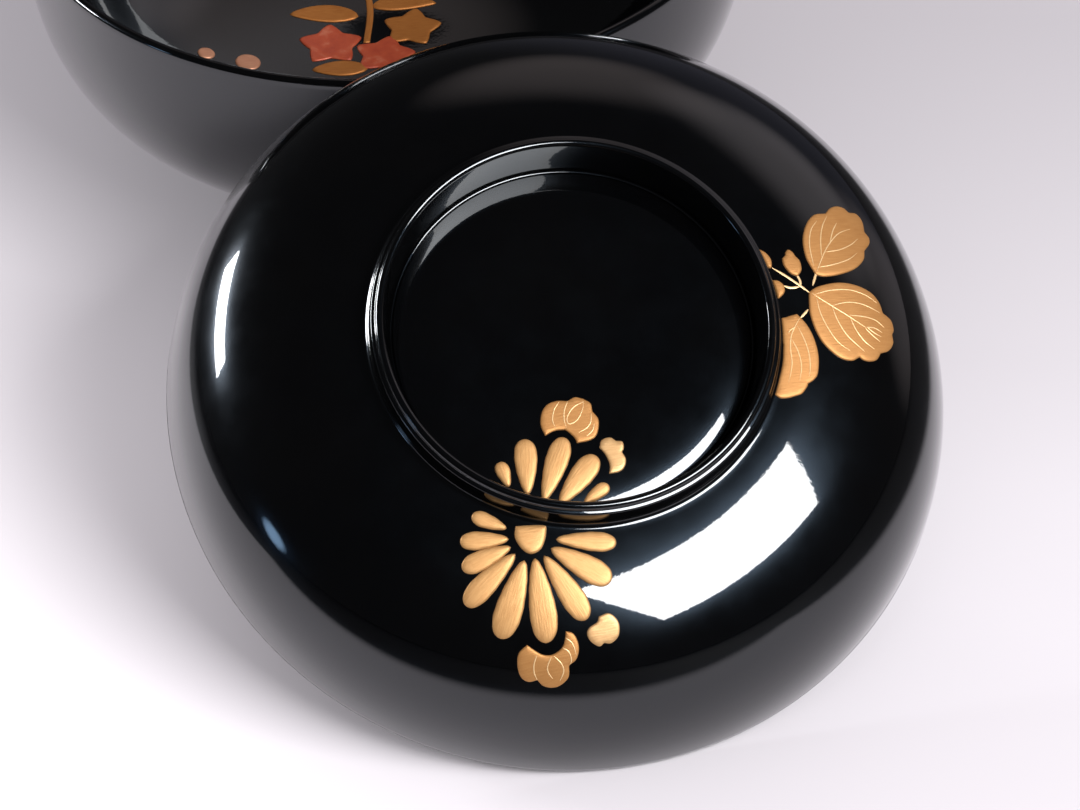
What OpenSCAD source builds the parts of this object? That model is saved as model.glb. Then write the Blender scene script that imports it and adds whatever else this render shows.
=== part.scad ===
// Lidded soup bowl in black lacquer over turned wood, with raised gold decoration.
// The bowl stands on its foot ring and the lid leans on its rim, one edge on the table.
// Units are millimetres. +Z is up and the lid leans out towards -Y.

/* [Bowl] */
// Outer radius at the mouth
bowl_r = 61.8; // [61:0.1:64]
// Height from the table to the top of the rim
bowl_h = 55; // [52:0.5:56]
// Wall thickness at the lip
bowl_lip = 1.7; // [1.5:0.1:2]
// Height of the inside floor above the table
bowl_floor_z = 13; // [12:0.5:15]
// Outer radius of the foot ring
foot_r = 30; // [28:0.5:32]
// Wall of the foot ring
foot_wall = 3; // [2.5:0.1:3.5]
// Depth of the hollow inside the foot ring
foot_recess = 7; // [6:0.5:8]

/* [Lid] */
// Outer radius at the rim
lid_r = 60; // [59:0.1:60]
// Height of the outer dome above the rim plane
dome_h = 28.5; // [27:0.5:30]
// Wall thickness at the rim
lid_lip = 1.6; // [1.4:0.1:1.8]
// Height of the hollow under the dome
lid_hollow = 23; // [21:0.5:23]
// Outer radius of the grip ring where it meets the dome
grip_r = 30.8; // [30:0.1:32]
// Height of the grip ring's crest above the rim plane
grip_top = 32; // [31.5:0.1:33]
// Radius of the grip ring's crest line
crest_r = 29.4; // [29:0.1:29.6]
// Radius of the flat floor inside the grip ring
recess_r = 27; // [26:0.1:27.2]
// Height of that floor above the rim plane
recess_z = 25.2; // [25:0.1:26]
// Height of the crowned recess floor's middle over its edge
recess_crown = 1.4; // [0:0.1:1.6]

/* [Lacquer and gold] */
// Thickness of the lacquer coat
coat = 0.4; // [0.3:0.05:0.5]
// Height of the raised petals
petal_lift = 0.5; // [0.4:0.05:0.7]
// Height of the raised leaves
leaf_lift = 0.35; // [0.25:0.05:0.5]

/* [Resting pose of the lid] */
// Angle between the lid's axis and the vertical
lid_tilt = 28.2; // [28.2:0.1:29]
// Direction of the lean, turned from -Y towards +X
lean_az = 12.5; // [10:0.5:15]
// Distance between the bowl's axis and the centre of the lid's rim
lean_gap = 112; // [112:0.5:114]
// Direction from the lid to the bowl, turned from +Y towards -X
bowl_az = 13.5; // [12:0.5:14]

/* [Hidden] */

steps = 20;            // points along each turned curve
bowl_exp = 3;          // roundness of the bowl's outside
bowl_in_exp = 2.8;     // roundness of the bowl's inside
dome_exp = 4.6;        // roundness of the lid
$fn = 96;

rim_round = bowl_lip / 2;
lip_round = lid_lip / 2;
rim_z = bowl_h - rim_round;             // where the rounded rim starts
body_depth = rim_z - 8.5;               // outside depth of the bowl's body
inner_depth = rim_z - bowl_floor_z;
foot_in = foot_r - foot_wall;
foot_round = 0.8;
bead = 0.9;                             // rounding of the grip ring's crest
crown_exp = 7;                          // the recess floor falls away mostly near its edge
flare = 1.4;                            // fillet where the grip ring meets the dome
flare_r = grip_r + flare;

// The origin is the middle of the whole arrangement's footprint, on the table.
lid_x = 14.05;
lid_y = -57.07;
lid_z = (lid_r - lip_round) * sin(lid_tilt) - lip_round * cos(lid_tilt) + lip_round;
bowl_x = lid_x - lean_gap * sin(bowl_az);
bowl_y = lid_y + lean_gap * cos(bowl_az);

flower = [-13.4, -30.8];                // middle of the chrysanthemum
ring_clear = grip_r + 0.5;              // gold on the dome stays outside this radius

// ---- surfaces of revolution ----
function curve_r(r, e, a) = r * pow(cos(a), 2 / e);
function curve_z(h, e, a) = h * pow(sin(a), 2 / e);
function bowl_out(c) = [for (i = [0 : steps])
    let (a = 90 * i / steps) [curve_r(bowl_r - c, bowl_exp, a), rim_z - curve_z(body_depth - c, bowl_exp, a)]];
function bowl_in(c) = [for (i = [0 : steps])
    let (a = 90 * i / steps)
    [curve_r(bowl_r - bowl_lip + c, bowl_in_exp, a), rim_z - curve_z(inner_depth + c, bowl_in_exp, a)]];
function bowl_in_z(r) =
    rim_z - inner_depth * pow(1 - pow(r / (bowl_r - bowl_lip), bowl_in_exp), 1 / bowl_in_exp);
function bowl_out_z(r) = rim_z - body_depth * pow(1 - pow(r / bowl_r, bowl_exp), 1 / bowl_exp);
function dome_z(r) = dome_h * sqrt(1 - pow(r / lid_r, dome_exp));
function outside(points, r) = [for (p = points) if (p[0] > r) p];
function turned_back(points) = [for (i = [len(points) - 1 : -1 : 0]) points[i]];
function dome(c) = [for (i = [0 : steps])
    let (t = i / steps, r = (lid_r - c) * (1 - pow(1 - t, 2)))
    [r, max(lip_round, (dome_h - c) * sqrt(1 - pow(r / (lid_r - c), dome_exp)))]];
function hollow(c) = [for (i = [0 : steps])
    let (t = i / steps, rr = lid_r - lid_lip + c, r = rr * (1 - pow(1 - t, 2)))
    [r, max(lip_round, (lid_hollow + c) * sqrt(1 - pow(r / rr, dome_exp)))]];
function recess_floor_z(r) = recess_z + recess_crown * (1 - pow(r / recess_r, crown_exp));
// Grip ring from the dome over the crest down to the middle of the recess
function grip(c) = concat(
    [[flare_r, dome_z(flare_r) - c], [grip_r + 0.3 - c, dome_z(grip_r) + 0.2 - c / 2],
     [grip_r - 0.2 - c, dome_z(grip_r) + 1]],
    [for (a = [0 : 30 : 180]) [crest_r + (bead - c) * cos(a), grip_top - bead + (bead - c) * sin(a)]],
    [[recess_r + 0.6 + c, recess_z + 1.4], [recess_r + 0.25 + c, recess_z + 0.3 - c / 2]],
    [for (r = [recess_r, 26.2, 25.3, 24, 22.3, 20, 17, 12, 0]) [r, recess_floor_z(r) - c]]);

module ring_bead(r, wall, z, flip) {
    rotate_extrude()
        polygon([for (a = [0 : 20 : 180]) [r - wall / 2 + wall / 2 * cos(a), z + flip * wall / 2 * sin(a)]]);
}

// ---- draped relief ----
// Height of the lacquer under a point and the direction straight out of it
flare_rise = (dome_z(grip_r) + 0.2 - dome_z(flare_r)) / (flare - 0.3);
function surface_z(s, r) =
    s == "dome" ? (r > flare_r ? dome_z(r) : dome_z(flare_r) + (flare_r - r) * flare_rise)
    : s == "recess" ? recess_floor_z(r)
    : bowl_in_z(r);
function slope(s, r) = (surface_z(s, r + 0.05) - surface_z(s, r - 0.05)) / 0.1;
function lift_off(s, p, t) =
    let (r = max(0.1, norm(p)), m = slope(s, r), k = t / sqrt(1 + m * m))
    [p[0] - k * m * p[0] / r, p[1] - k * m * p[1] / r, surface_z(s, r) + k];
bed = 0.06;            // height of a gold piece's underside over the lacquer's curve
edge = 0.18;           // height of its outer edge
across = [-1, -0.7, -0.25, 0.25, 0.7, 1];

// A strip that follows a spine. left and right are its half widths at each point of the spine.
module strip(s, spine, left, right, lift) {
    n = len(spine);
    m = len(across);
    side = [for (i = [0 : n - 1])
        let (d = spine[min(n - 1, i + 1)] - spine[max(0, i - 1)]) [-d[1], d[0]] / norm(d)];
    flat = [for (i = [0 : n - 1]) for (v = across)
        spine[i] + side[i] * v * (v < 0 ? right[i] : left[i])];
    top = [for (k = [0 : n * m - 1])
        lift_off(s, flat[k], k % m == 0 || k % m == m - 1 || k < m || k >= (n - 1) * m ? edge : lift)];
    bottom = [for (p = flat) lift_off(s, p, bed)];
    b = n * m;
    polyhedron(points = concat(top, bottom), faces = concat(
        [for (i = [0 : n - 2]) for (j = [0 : m - 2]) let (k = i * m + j) each [
            [k, k + 1, k + m + 1], [k, k + m + 1, k + m],
            [b + k, b + k + m + 1, b + k + 1], [b + k, b + k + m, b + k + m + 1]]],
        [for (i = [0 : n - 2]) let (k = i * m, q = k + m - 1) each [
            [b + k, k, k + m], [b + k, k + m, b + k + m],
            [b + q + m, q + m, q], [b + q + m, q, b + q]]],
        [for (j = [0 : m - 2]) let (k = j, q = (n - 1) * m + j) each [
            [b + k + 1, k + 1, k], [b + k + 1, k, b + k],
            [b + q, q, q + 1], [b + q, q + 1, b + q + 1]]]));
}

// A rounded patch around a middle point. rays holds its radius in evenly spaced directions.
module patch(s, middle, rays, lift) {
    n = len(rays);
    rim = [for (i = [0 : n - 1]) [cos(360 * i / n), sin(360 * i / n)] * rays[i]];
    points = concat(
        [lift_off(s, middle, lift)], [for (p = rim) lift_off(s, middle + 0.75 * p, lift)],
        [for (p = rim) lift_off(s, middle + p, edge)], [for (p = rim) lift_off(s, middle + p, bed)],
        [lift_off(s, middle, bed)]);
    last = 3 * n + 1;
    polyhedron(points = points, faces = [for (i = [0 : n - 1])
        let (a = 1 + i, c = 1 + (i + 1) % n) each [
            [0, c, a], [a, c, c + n], [a, c + n, a + n],
            [a + n, c + n, c + 2 * n], [a + n, c + 2 * n, a + 2 * n], [last, a + 2 * n, c + 2 * n]]]);
}

function along(a, b, n) = [for (i = [0 : n]) a + (b - a) * sin(90 * i / n)];
function bow(a, c, b, n) = [for (i = [0 : n])
    let (t = sin(90 * i / n)) a * (1 - t) * (1 - t) + c * 2 * t * (1 - t) + b * t * t];
function ray(middle, angle, r) = middle + r * [cos(angle), sin(angle)];
tiny = 0.06;
function drop_width(w, n) = [for (i = [0 : n])
    let (u = sin(90 * i / n)) max(tiny, w / 2 * pow(u, 0.65) * sqrt(max(0, 1 - pow(u, 4))) / 0.69)];
// Leaf half width with scallops on its far part
function leaf_width(w, n, lobes) = [for (i = [0 : n])
    let (u = sin(90 * i / n), q = max(0, (u - 0.45) / 0.55))
    max(tiny, w * pow(u, 0.62) * sqrt(max(0, 1 - pow(u, 5))) / 0.8
        * (1 - (q > 0 ? 0.12 : 0) * (1 - abs(sin(180 * lobes * q)))))];
function off_ring(spine, w) = [for (i = [0 : len(spine) - 1]) max(tiny, min(w[i], norm(spine[i]) - ring_clear))];

module drop_petal(s, middle, angle, root, tip, w) {
    n = 8;
    spine = along(ray(middle, angle, root), ray(middle, angle, tip), n);
    strip(s, spine, drop_width(w, n), drop_width(w, n), petal_lift);
}

// A lobed leaf that curls round a petal's tip: inner radius r0, greatest width w
module curled_leaf(s, middle, a0, a1, r0, w, lobes) {
    n = 14;
    mid = [for (i = [0 : n]) let (u = i / n)
        max(tiny, w / 2 * pow(sin(180 * (0.04 + 0.92 * u)), 0.6) * (0.86 + 0.14 * abs(sin(180 * lobes * u))))];
    spine = [for (i = [0 : n]) ray(middle, a0 + (a1 - a0) * i / n, r0 + mid[i])];
    strip(s, spine, mid, mid, leaf_lift);
}

module plain_leaf(s, base, bend, tip, left, right, lobes) {
    n = 13;
    spine = bow(base, bend, tip, n);
    strip(s, spine, leaf_width(left, n, lobes), leaf_width(right, n, lobes), leaf_lift);
}

module stalk(s, a, c, b, w) {
    n = 5;
    strip(s, bow(a, c, b, n), [for (i = [0 : n]) w / 2], [for (i = [0 : n]) w / 2], edge * 2);
}

function round_rays(r, n) = [for (i = [0 : n - 1]) r];
function star_rays(r, points, turn, n) = [for (i = [0 : n - 1])
    r * (0.78 + 0.22 * cos(points * (360 * i / n - turn)))];

// ---- placing ----
module on_bowl() {
    translate([bowl_x, bowl_y, 0]) children();
}
module on_lid() {
    translate([lid_x, lid_y, lid_z]) rotate([0, 0, lean_az]) rotate([lid_tilt, 0, 0]) children();
}

// ---- bowl ----
module bowl_wood_core() {
    color("burlywood") on_bowl() rotate_extrude() polygon(concat(
        outside(bowl_out(coat), foot_r - coat),
        [[foot_r - coat, bowl_out_z(foot_r)], [foot_r - coat, foot_round], [foot_in + coat, foot_round],
         [foot_in + coat, foot_recess + coat], [0, foot_recess + coat]],
        turned_back(bowl_in(coat))));
}
module bowl_outer_lacquer() {
    color("black") on_bowl() rotate_extrude() polygon(concat(
        outside(bowl_out(0), foot_r), [[foot_r, bowl_out_z(foot_r)], [foot_r, foot_round],
         [foot_r - coat, foot_round], [foot_r - coat, bowl_out_z(foot_r)]],
        turned_back(outside(bowl_out(coat), foot_r - coat))));
}
module bowl_inner_lacquer() {
    color("black") on_bowl() rotate_extrude() polygon(concat(bowl_in(coat), turned_back(bowl_in(0))));
}
module bowl_rim() {
    color("black") on_bowl() ring_bead(bowl_r, bowl_lip, rim_z, 1);
}
module bowl_foot_rim() {
    color("black") on_bowl() rotate_extrude() polygon([
        [foot_in, foot_round], [foot_in, 0.3], [foot_in + 0.3, 0], [foot_r - 0.3, 0], [foot_r, 0.3],
        [foot_r, foot_round]]);
}
module bowl_base_lacquer() {
    color("black") on_bowl() rotate_extrude() polygon([
        [foot_in, foot_round], [foot_in + coat, foot_round], [foot_in + coat, foot_recess + coat],
        [0, foot_recess + coat], [0, foot_recess], [foot_in, foot_recess]]);
}

// Gold and red branch on the inside floor of the bowl
module bowl_branch() {
    color("darkgoldenrod") on_bowl() stalk("bowl", [-4.7, 8], [-4.6, 18], [-7.5, 33], 0.9);
}
module bowl_gold_leaves() {
    color("goldenrod") on_bowl() {
        plain_leaf("bowl", [-6.4, 14.4], [-12, 15.6], [-18.6, 14.6], 2.2, 2.2, 0);
        plain_leaf("bowl", [-4, 17], [1, 18.6], [7.4, 17.4], 1.9, 1.9, 0);
        plain_leaf("bowl", [-7.6, 22.5], [-13, 26.5], [-19.5, 27], 2.4, 2.4, 0);
        plain_leaf("bowl", [-5.2, 26], [0, 29.5], [6, 30.5], 2.2, 2.2, 0);
        plain_leaf("bowl", [-4.6, -0.7], [-9.4, -0.2], [-14.4, -1], 2.1, 2.1, 0);
        patch("bowl", [3.2, 10.9], star_rays(5.2, 5, 0, 30), leaf_lift);
    }
}
module bowl_red_leaves() {
    color("firebrick") on_bowl() {
        patch("bowl", [-11.4, 6.4], star_rays(5.4, 5, 180, 30), leaf_lift);
        patch("bowl", [-1.6, 3], star_rays(5.2, 5, 30, 30), leaf_lift);
    }
}
module bowl_gold_drops() {
    color("peachpuff") on_bowl() {
        patch("bowl", [-25.5, 0.3], round_rays(2.2, 14), leaf_lift);
        patch("bowl", [-32.7, 1.3], round_rays(1.5, 12), leaf_lift);
    }
}

// ---- lid ----
module lid_wood_core() {
    color("burlywood") on_lid() rotate_extrude() polygon(concat(
        turned_back(outside(dome(coat), flare_r)), grip(coat), hollow(coat)));
}
module lid_outer_lacquer() {
    color("black") on_lid() rotate_extrude() polygon(concat(
        [[flare_r, dome_z(flare_r)]], outside(dome(0), flare_r),
        turned_back(outside(dome(coat), flare_r)), [[flare_r, dome_z(flare_r) - coat]]));
}
module lid_inner_lacquer() {
    color("black") on_lid() rotate_extrude() polygon(concat(hollow(coat), turned_back(hollow(0))));
}
module lid_rim() {
    color("black") on_lid() ring_bead(lid_r, lid_lip, lip_round, -1);
}
module lid_grip_lacquer() {
    color("black") on_lid() rotate_extrude() polygon(concat(grip(0), turned_back(grip(coat))));
}

// Chrysanthemum that runs from the dome under the grip ring into the recess
module flower_disc() {
    color("gold") on_lid() patch("dome", flower, round_rays(2.3, 20), petal_lift);
}
module flower_outer_petals() {
    color("gold") on_lid() {
        drop_petal("dome", flower, 147, 3.9, 9.3, 2.2);
        drop_petal("dome", flower, 171, 3.3, 10.4, 2.6);
        drop_petal("dome", flower, 192, 3.3, 11, 2.8);
        drop_petal("dome", flower, 213, 3.3, 13.4, 3.3);
        drop_petal("dome", flower, 241, 3.4, 14.6, 3.9);
        drop_petal("dome", flower, 268, 3, 14.8, 3.8);
        drop_petal("dome", flower, 294, 3.2, 14.1, 3.4);
        drop_petal("dome", flower, 321, 3.2, 13.2, 3.6);
        drop_petal("dome", flower, 346, 3.6, 12.5, 2.8);
    }
}
module flower_inner_petals() {
    color("gold") on_lid() {
        drop_petal("recess", flower, 97, 9.3, 13.4, 2.1);
        drop_petal("recess", flower, 80, 7.6, 16.4, 3.3);
        drop_petal("recess", flower, 60.5, 7, 17.6, 3.3);
        drop_petal("recess", flower, 42.5, 7.6, 17.2, 3.4);
        drop_petal("recess", flower, 27, 10.4, 15.1, 2);
    }
}
module recess_leaf() {
    color("goldenrod") on_lid() curled_leaf("recess", [-4.6, -16.6], 152, -4, 2.5, 4.8, 4);
}
module recess_bud_leaf() {
    color("goldenrod") on_lid() curled_leaf("recess", [-0.8, -20.4], 82, -26, 1.6, 3.4, 3);
}
module lower_leaf() {
    color("goldenrod") on_lid() curled_leaf("dome", [-13.6, -43.4], 346, 198, 3.4, 4.2, 4);
}
module lower_bud_leaf() {
    color("goldenrod") on_lid() curled_leaf("dome", [-8, -42.8], 348, 268, 1.8, 3, 2);
}

// Spray of three round leaves and buds at the other side of the grip ring
spray_fork = [36.3, -0.1];
module spray_top_leaf() {
    color("goldenrod") on_lid() plain_leaf("dome", [38.2, 2.8], [41.5, 8.5], [48, 13.4], 4.9, 4.9, 2);
}
module spray_middle_leaf() {
    color("goldenrod") on_lid() plain_leaf("dome", spray_fork, [42, -5], [48.6, -8.8], 5.8, 6.2, 2);
}
module spray_lower_leaf() {
    n = 13;
    spine = bow([33.9, -3.4], [33.8, -9.5], [29.6, -16.5], n);
    color("goldenrod") on_lid()
        strip("dome", spine, leaf_width(3.2, n, 2), off_ring(spine, leaf_width(2.8, n, 0)), leaf_lift);
}
module spray_buds() {
    color("goldenrod") on_lid() {
        plain_leaf("dome", [35.6, 3], [35, 5], [35, 7.3], 1.5, 1.4, 0);
        plain_leaf("dome", [32.1, 4.6], [32.2, 6.2], [31.9, 8], 0.7, 0.7, 0);
        plain_leaf("dome", [33.2, 1.7], [32.3, 1], [31.9, -0.4], 0.6, 0.6, 0);
    }
}
module spray_stems() {
    color("gold") on_lid() {
        stalk("dome", spray_fork, [34.6, 2.2], [32.2, 4.6], 0.45);
        stalk("dome", [35.3, 1.3], [35.7, 2], [35.6, 3], 0.4);
        stalk("dome", [35, 1.1], [34.2, 1.1], [33.2, 1.7], 0.4);
        stalk("dome", [38.2, 2.8], [37.6, 1.9], [37.3, 1.1], 0.45);
        stalk("dome", [33.9, -3.4], [34.8, -3.1], [35.7, -2.6], 0.45);
    }
}

bowl_wood_core();
bowl_outer_lacquer();
bowl_inner_lacquer();
bowl_rim();
bowl_foot_rim();
bowl_base_lacquer();
bowl_branch();
bowl_gold_leaves();
bowl_red_leaves();
bowl_gold_drops();
lid_wood_core();
lid_outer_lacquer();
lid_inner_lacquer();
lid_rim();
lid_grip_lacquer();
flower_disc();
flower_outer_petals();
flower_inner_petals();
recess_leaf();
recess_bud_leaf();
lower_leaf();
lower_bud_leaf();
spray_top_leaf();
spray_middle_leaf();
spray_lower_leaf();
spray_buds();
spray_stems();
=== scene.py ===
"""Looks of a lidded soup bowl: black lacquer over turned wood, with raised gold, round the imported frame.

The turned outlines and the gold are worked out in millimetres, in the bowl's or the lid's own frame, and then
put where the frame has the bowl and the lid."""

import math

import bpy
import numpy as np
from mathutils import Matrix, Vector
from mathutils.geometry import delaunay_2d_cdt


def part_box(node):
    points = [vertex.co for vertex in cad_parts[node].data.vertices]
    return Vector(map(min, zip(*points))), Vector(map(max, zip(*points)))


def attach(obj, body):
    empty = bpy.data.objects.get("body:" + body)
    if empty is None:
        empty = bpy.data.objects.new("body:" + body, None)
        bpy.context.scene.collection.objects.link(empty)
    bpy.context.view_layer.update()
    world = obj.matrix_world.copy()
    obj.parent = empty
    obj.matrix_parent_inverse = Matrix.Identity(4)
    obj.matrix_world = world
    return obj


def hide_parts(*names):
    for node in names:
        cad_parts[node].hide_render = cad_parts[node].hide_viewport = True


MM = 0.001
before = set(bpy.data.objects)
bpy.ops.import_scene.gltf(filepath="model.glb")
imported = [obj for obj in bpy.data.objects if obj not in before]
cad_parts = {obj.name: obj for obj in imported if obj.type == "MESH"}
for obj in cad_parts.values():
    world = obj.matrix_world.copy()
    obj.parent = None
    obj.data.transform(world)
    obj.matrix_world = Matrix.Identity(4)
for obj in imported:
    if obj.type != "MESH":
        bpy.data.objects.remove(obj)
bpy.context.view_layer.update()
scene = bpy.context.scene


# ---------------------------------------------------------------- sizes, in millimetres
def width_of(node):
    """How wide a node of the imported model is, along X."""
    low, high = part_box(node)
    return (high.x - low.x) / MM


BOWL_R = width_of("bowl_rim") / 2
BOWL_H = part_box("bowl_rim")[1].z / MM
BOWL_LIP = 1.7
BOWL_FLOOR = 13.0
BOWL_OUT_ROUND, BOWL_IN_ROUND = 3.0, 2.8  # exponents of the turned curves
BOWL_BOTTOM = 8.5  # where the outer curve would reach the axis
BOWL_RIM_Z = BOWL_H - BOWL_LIP / 2
FOOT_R = width_of("bowl_foot_rim") / 2
FOOT_WALL = 3.0
FOOT_IN = FOOT_R - FOOT_WALL
FOOT_RECESS = 7.0
FOOT_EDGE = 0.8  # height of the foot ring's lacquered edge

LID_R, LID_LIP = 60.0, 1.6
LID_ROUND = 4.6  # exponent of the dome and of the hollow
DOME_H, HOLLOW_H = 28.5, 23.0
RING_BASE_R, CREST_R, CREST_Z, BEAD = 30.8, 29.2, 31.35, 0.65
RING_FILLET = 1.6  # how far the ring's foot runs out on to the dome
RING_EDGE = [(30.5, 31.1, 0.35), (29.93, 31.25, 0.2), (29.84, 31.5)]  # up to the fine edge beside the bead
RING_INSIDE = [(27.4, 25.1, 0.45), (27.1, 25.13)]  # down to the recess floor
RECESS_R, RECESS_Z = 27.0, 25.3
RECESS_CROWN, CROWN_ROUND = 1.15, 7  # the recess floor is crowned and falls away near its edge
RING_CLEAR = 31.35  # gold on the dome stays outside this radius

COAT = 0.4  # thickness of the lacquer
BEDDED = 0.05  # how far gold reaches into the lacquer
VEIN_WIDTH, VEIN_RISE = 0.17, 0.045
STEM_WIDTH, STEM_LIFT = 0.36, 0.06  # the lift is that of a stem's middle over the lacquer

TURNS = 192  # segments round a turned piece
CORNER_STEPS = 9  # points round a rounded corner
WALL_STEPS = 90  # points along the bowl's wall
DOME_STEPS = 70  # points along the dome and along the hollow
FLOOR_STEPS = 36  # points along the recess floor
OUTLINE_STEP = 0.16  # between the points of a gold outline
VEIN_STEP = 0.22  # between the points of a vein
GRID_STEP = 0.42  # between the points inside a gold patch
EDGE_ROWS = (0.06, 0.2, 0.45, 0.8)  # rows of points along a patch's edge, in shares of its rounding
GRAIN_APART = 10  # sets the grain of patches with different directions apart
VEIN_SECTION = ((-1, 0), (-0.7, 0.7), (0, 1), (0.7, 0.7), (1, 0), (0, -1))  # in half widths and rises
SHARP = math.radians(60)  # gold's edges are smooth up to this angle
ON_AXIS = 1e-6  # a point with a smaller radius is on the axis

LEAN_TILT, LEAN_TURN = math.radians(28.2), math.radians(12.5)


def lid_place():
    """The lid's own frame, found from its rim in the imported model."""
    turn = Matrix.Rotation(LEAN_TURN, 4, "Z") @ Matrix.Rotation(LEAN_TILT, 4, "X")
    rim = np.array([turn.inverted() @ v.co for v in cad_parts["lid_rim"].data.vertices])
    middle = (rim.min(0) + rim.max(0)) / 2
    return turn @ Matrix.Translation((middle[0], middle[1], rim[:, 2].min()))


def bowl_place():
    """The bowl's own frame, which stands upright under the middle of its rim."""
    low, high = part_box("bowl_rim")
    return Matrix.Translation(((low.x + high.x) / 2, (low.y + high.y) / 2, 0))


PLACE = {"lid": lid_place(), "bowl": bowl_place()}


# ---------------------------------------------------------------- turned outlines: (radius, height)
def rounded(corners):
    """A line through (radius, height, rounding) with an arc at each corner that has a rounding."""
    line = []
    for i, corner in enumerate(corners):
        here = np.array(corner[:2], float)
        if len(corner) == 2:
            line.append(here)
            continue
        back = np.array(corners[i - 1][:2]) - here
        ahead = np.array(corners[i + 1][:2]) - here
        back, ahead = back / np.linalg.norm(back), ahead / np.linalg.norm(ahead)
        half = math.acos(float(back @ ahead)) / 2
        reach = corner[2] / math.tan(half)
        middle = here + (back + ahead) / np.linalg.norm(back + ahead) * corner[2] / math.sin(half)
        start, end = here + back * reach - middle, here + ahead * reach - middle
        sweep = math.atan2(start[0] * end[1] - start[1] * end[0], float(start @ end))
        for t in np.linspace(0, sweep, CORNER_STEPS):
            c, s = math.cos(t), math.sin(t)
            line.append(middle + (start[0] * c - start[1] * s, start[0] * s + start[1] * c))
    return np.array(line)


def arc(middle, radius, start, end, steps=15):
    """Points round a middle from one angle to another, in degrees."""
    a = np.radians(np.linspace(start, end, steps))
    return np.column_stack((middle[0] + radius * np.cos(a), middle[1] + radius * np.sin(a)))


def turned_wall(radius, depth, exponent, steps):
    """A rounded wall from its rim down to its axis, as (radius, depth below the rim)."""
    a = np.linspace(0, math.pi / 2, steps)
    m = (np.cos(a) ** exponent + np.sin(a) ** exponent) ** (1 / exponent)
    return np.column_stack((radius * np.cos(a) / m, depth * np.sin(a) / m))


def dome_height(radius, rim, height):
    """The dome's height at a radius, over its rim."""
    return height * np.sqrt(np.clip(1 - (radius / rim) ** LID_ROUND, 0, 1))


def dome_line(rim, height, low_z, inner_r, steps):
    """The lid's dome from low_z at its rim up to inner_r, with its points closest together there."""
    a0 = math.acos(low_z / height)
    a1 = math.asin((inner_r / rim) ** (LID_ROUND / 2))
    a = a1 + (a0 - a1) * np.linspace(1, 0, steps) ** 1.6
    return np.column_stack((rim * np.sin(a) ** (2 / LID_ROUND), height * np.cos(a)))


def recess_height(radius):
    """The height of the crowned floor inside the grip ring."""
    return RECESS_Z + RECESS_CROWN * (1 - (radius / RECESS_R) ** CROWN_ROUND)


def bowl_stretches():
    """The bowl's outline from the middle of its base, round the foot, up, over the rim and down inside."""
    outer = turned_wall(BOWL_R, BOWL_RIM_Z - BOWL_BOTTOM, BOWL_OUT_ROUND, WALL_STEPS)[::-1]
    outer[:, 1] = BOWL_RIM_Z - outer[:, 1]
    shoulder_r = FOOT_R + 4
    under = np.interp([FOOT_R, shoulder_r], outer[:, 0], outer[:, 1])
    shoulder = rounded([(FOOT_R, FOOT_EDGE), (FOOT_R, under[0], 2.2), (shoulder_r, under[1])])
    inner = turned_wall(BOWL_R - BOWL_LIP, BOWL_RIM_Z - BOWL_FLOOR, BOWL_IN_ROUND, WALL_STEPS)
    inner[:, 1] = BOWL_RIM_Z - inner[:, 1]
    mid_rim = BOWL_R - BOWL_LIP / 2
    return {
        "base": rounded([(0, FOOT_RECESS), (FOOT_IN, FOOT_RECESS, 1.6), (FOOT_IN, FOOT_EDGE)]),
        "foot": rounded([(FOOT_IN, FOOT_EDGE), (FOOT_IN, 0, 0.5), (FOOT_R, 0, 0.7), (FOOT_R, FOOT_EDGE)]),
        "outer": np.vstack((shoulder, outer[outer[:, 0] > shoulder_r + 0.2])),
        "rim": arc((mid_rim, BOWL_RIM_Z), BOWL_LIP / 2, 0, 180),
        "inner": inner,
    }


def lid_stretches():
    """The lid's outline from the middle of its hollow, round the rim, up the dome, over the ring and in."""
    lip = LID_LIP / 2
    hollow = dome_line(LID_R - LID_LIP, HOLLOW_H, lip, 0, DOME_STEPS)[::-1]
    dome = dome_line(LID_R, DOME_H, lip, RING_BASE_R + RING_FILLET, DOME_STEPS)
    wall_foot = (RING_BASE_R, float(dome_height(RING_BASE_R, LID_R, DOME_H)))
    floor = RECESS_R * (1 - np.linspace(0, 1, FLOOR_STEPS) ** 1.3)  # closest together where it falls away
    ring = np.vstack((
        rounded([tuple(dome[-1]), (*wall_foot, 1.0), *RING_EDGE]),
        arc((CREST_R, CREST_Z), BEAD, 12, 180)[1:],
        rounded([(CREST_R - BEAD, CREST_Z), *RING_INSIDE])[1:],
        np.column_stack((floor, recess_height(floor))),
    ))
    return {
        "inner": hollow,
        "rim": arc((LID_R - lip, lip), lip, -180, 0),
        "outer": dome,
        "grip": ring,
    }


def with_normals(stretches):
    """For each stretch its points and their outward normals, which run on smoothly between stretches."""
    names, parts = list(stretches), list(stretches.values())
    line = np.vstack([parts[0]] + [p[1:] for p in parts[1:]])
    step = np.diff(line, axis=0)
    length = np.linalg.norm(step, axis=1)
    unit = step / length[:, None]
    tangent = np.vstack((unit[:1], unit[:-1] * length[1:, None] + unit[1:] * length[:-1, None], unit[-1:]))
    for end in (0, -1):
        if line[end, 0] < ON_AXIS:
            tangent[end] = (1 if end == 0 else -1, 0)
    tangent /= np.linalg.norm(tangent, axis=1)[:, None]
    normal = np.column_stack((tangent[:, 1], -tangent[:, 0]))
    found, at = {}, 0
    for name, part in zip(names, parts):
        found[name] = (part, normal[at:at + len(part)])
        at += len(part) - 1
    return found


OUTLINE = {"bowl": with_normals(bowl_stretches()), "lid": with_normals(lid_stretches())}


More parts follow.
